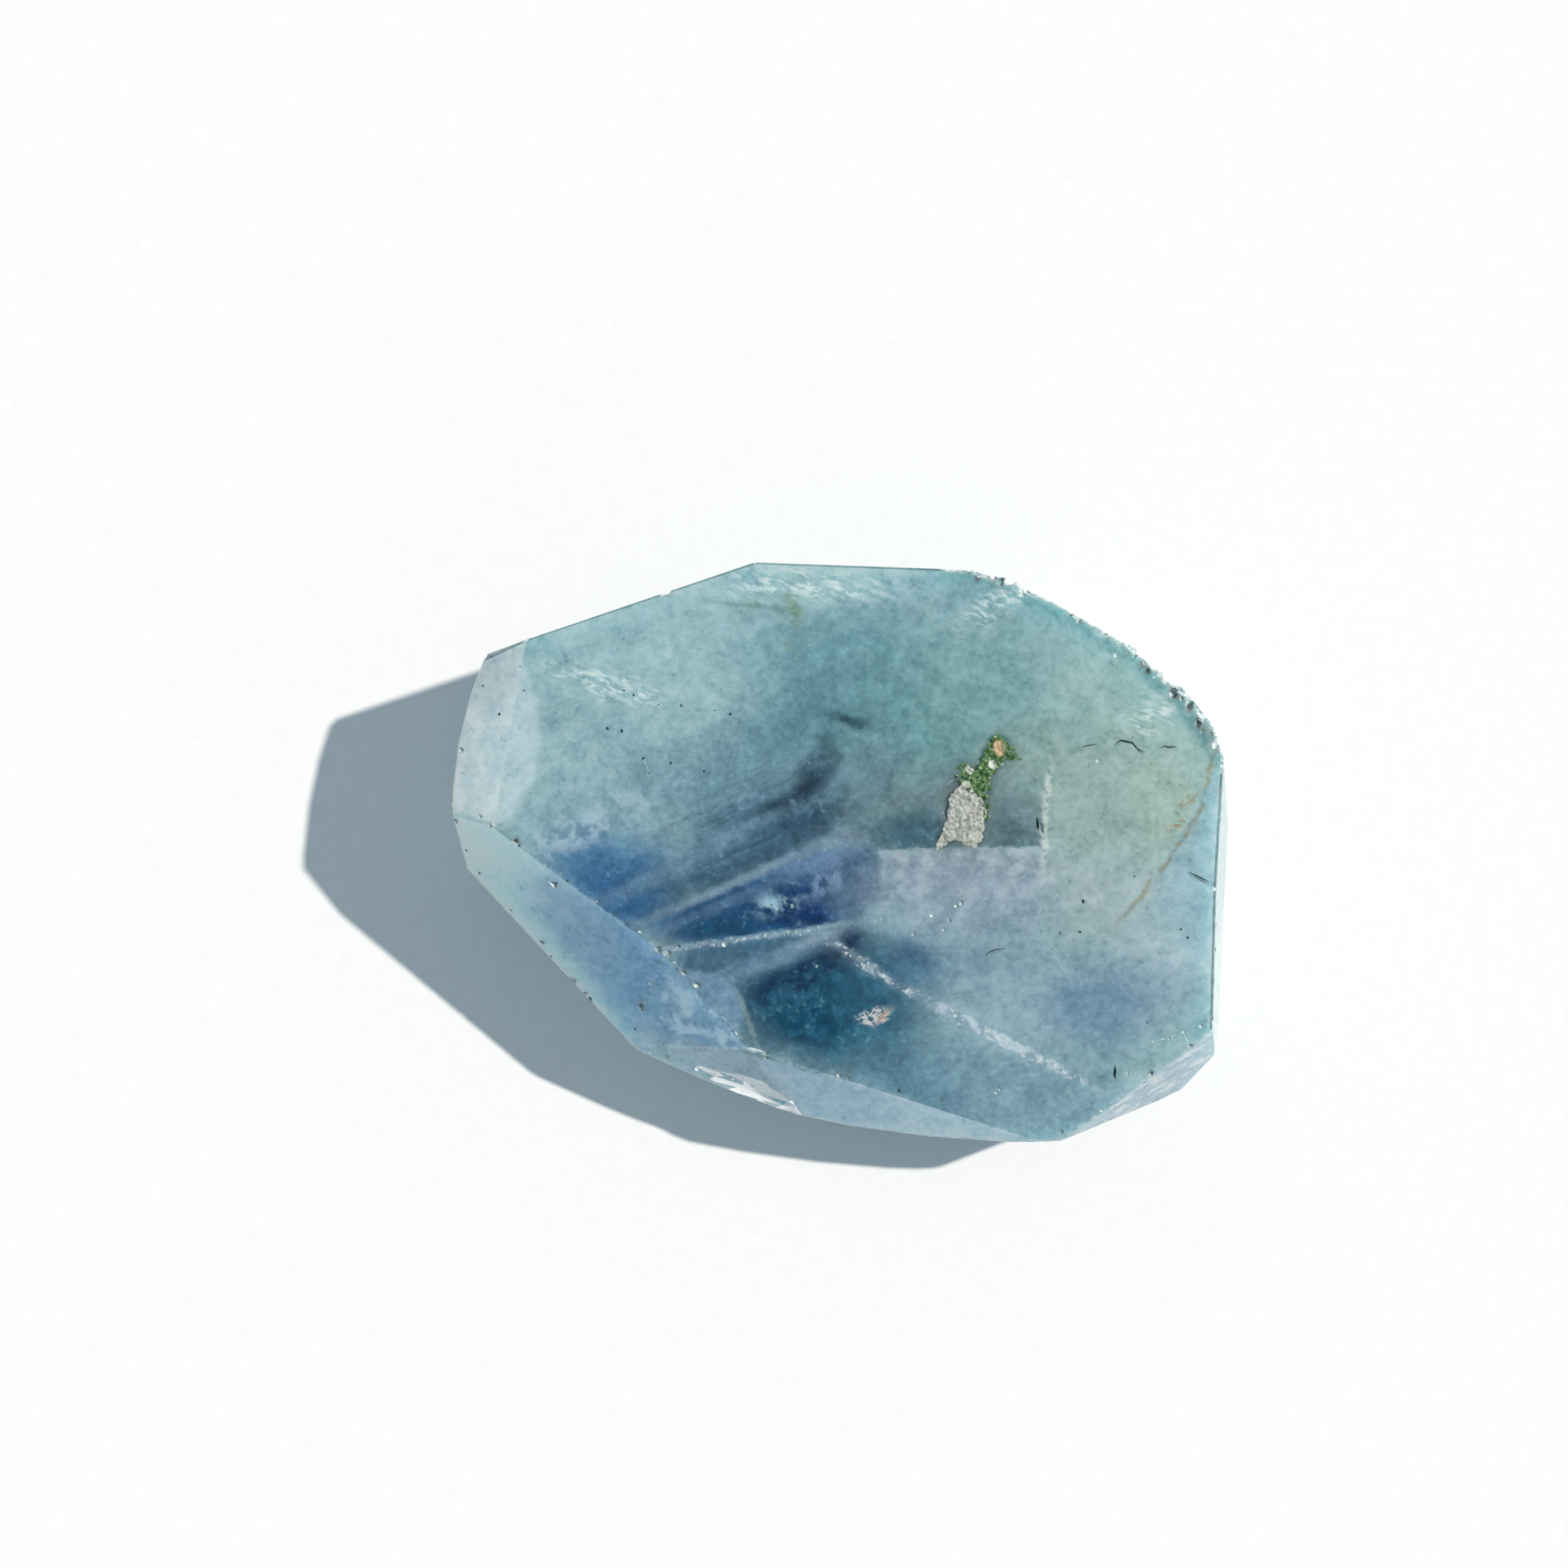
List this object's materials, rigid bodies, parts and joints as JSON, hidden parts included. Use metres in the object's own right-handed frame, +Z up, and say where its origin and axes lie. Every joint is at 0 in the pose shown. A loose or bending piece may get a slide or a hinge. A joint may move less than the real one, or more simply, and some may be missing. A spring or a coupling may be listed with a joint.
{
  "type": "fluorite freeform",
  "caption": "Polished fluorite freeform, a hand-sized stone ground into flat facets, blue and green with smoky growth bands, resting on its flat base facet.",
  "frame": {"origin": "Middle of the flat base facet's level, under the middle of the stone's box.", "axes": "+Z up from the base facet, +X along the longest side, towards the end with the iron-stained edge, +Y towards the straight top edge."},
  "size_m": [0.0659, 0.0492, 0.0203],
  "materials": {
    "fluorite": "polished, cloudy and partly clear"
  },
  "bodies": {
    "root": {"fluorite_freeform": "fluorite"}
  },
  "joints": []
}
